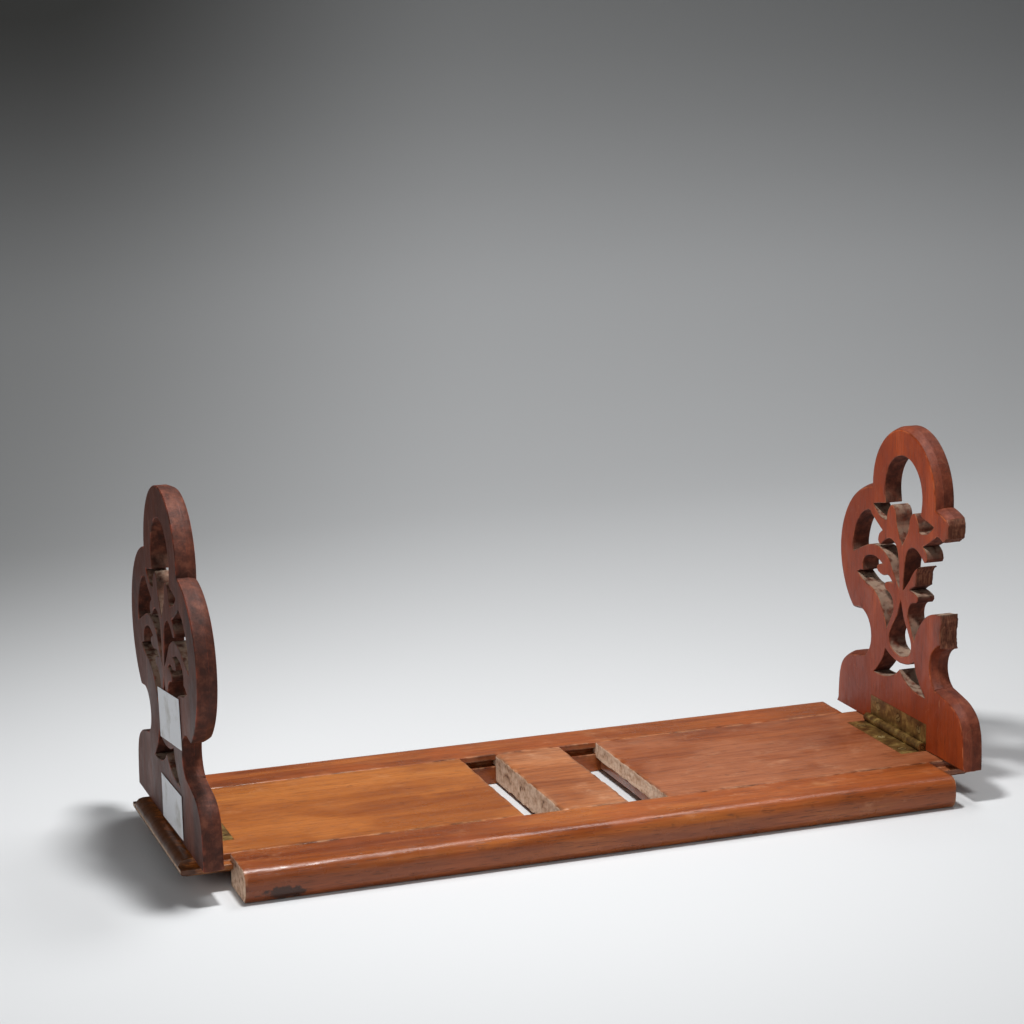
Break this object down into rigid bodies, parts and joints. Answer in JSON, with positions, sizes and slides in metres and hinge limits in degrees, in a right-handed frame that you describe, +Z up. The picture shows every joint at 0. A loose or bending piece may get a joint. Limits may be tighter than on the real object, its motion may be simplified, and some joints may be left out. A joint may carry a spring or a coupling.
{
  "type": "bible stand",
  "caption": "Extending wooden bible stand: side rails, fixed centre board, sliding leaves and fretwork end boards that fold inwards on brass hinges.",
  "frame": {"origin": "on the floor, midway between the two nosings and midway between the rails", "axes": "+X along the rails towards the broken end board, +Y towards the back rail, +Z up"},
  "size_m": [0.4154, 0.151, 0.1813],
  "materials": {
    "rail_wood": "old red-brown varnish, semi-gloss, fine straight grain",
    "board_wood": "old orange-brown varnish, worn, semi-gloss, raw end grain",
    "end_wood": "dull red-brown varnish, saw-cut edges",
    "hinge_brass": "aged, tarnished brass",
    "screw_brass": "dull slotted countersunk heads",
    "label_paper": "matt white paper, blank"
  },
  "bodies": {
    "base": {"front_rail": "rail_wood", "back_rail": "rail_wood", "centre_board": "board_wood"},
    "left_leaf": {"left_slider": "board_wood", "left_slider_batten": "board_wood", "left_hinge_base_leaf": "hinge_brass", "left_hinge_pin": "hinge_brass", "left_base_screw_1": "screw_brass", "left_base_screw_2": "screw_brass", "left_base_screw_3": "screw_brass"},
    "left_end": {"left_end_board": "end_wood", "left_hinge_end_leaf": "hinge_brass", "left_end_screw_1": "screw_brass", "left_end_screw_2": "screw_brass", "left_end_screw_3": "screw_brass", "upper_label": "label_paper", "lower_label": "label_paper"},
    "right_leaf": {"right_slider": "board_wood", "right_slider_batten": "board_wood", "right_hinge_base_leaf": "hinge_brass", "right_hinge_pin": "hinge_brass", "right_base_screw_1": "screw_brass", "right_base_screw_2": "screw_brass", "right_base_screw_3": "screw_brass"},
    "right_end": {"right_end_board": "end_wood", "right_hinge_end_leaf": "hinge_brass", "right_end_screw_1": "screw_brass", "right_end_screw_2": "screw_brass", "right_end_screw_3": "screw_brass"}
  },
  "joints": [
    {"name": "left_slide", "type": "slide", "parent": "base", "child": "left_leaf", "axis": [-1, 0, 0], "range_m": [-0.0192, 0.083]},
    {"name": "right_slide", "type": "slide", "parent": "base", "child": "right_leaf", "axis": [1, 0, 0], "range_m": [-0.0203, 0.083]},
    {"name": "left_fold", "type": "hinge", "parent": "left_leaf", "child": "left_end", "pos_m": [-0.1887, 0, 0.018], "axis": [0, 1, 0], "range_deg": [0, 90]},
    {"name": "right_fold", "type": "hinge", "parent": "right_leaf", "child": "right_end", "pos_m": [0.1887, 0, 0.018], "axis": [0, -1, 0], "range_deg": [0, 90]}
  ]
}
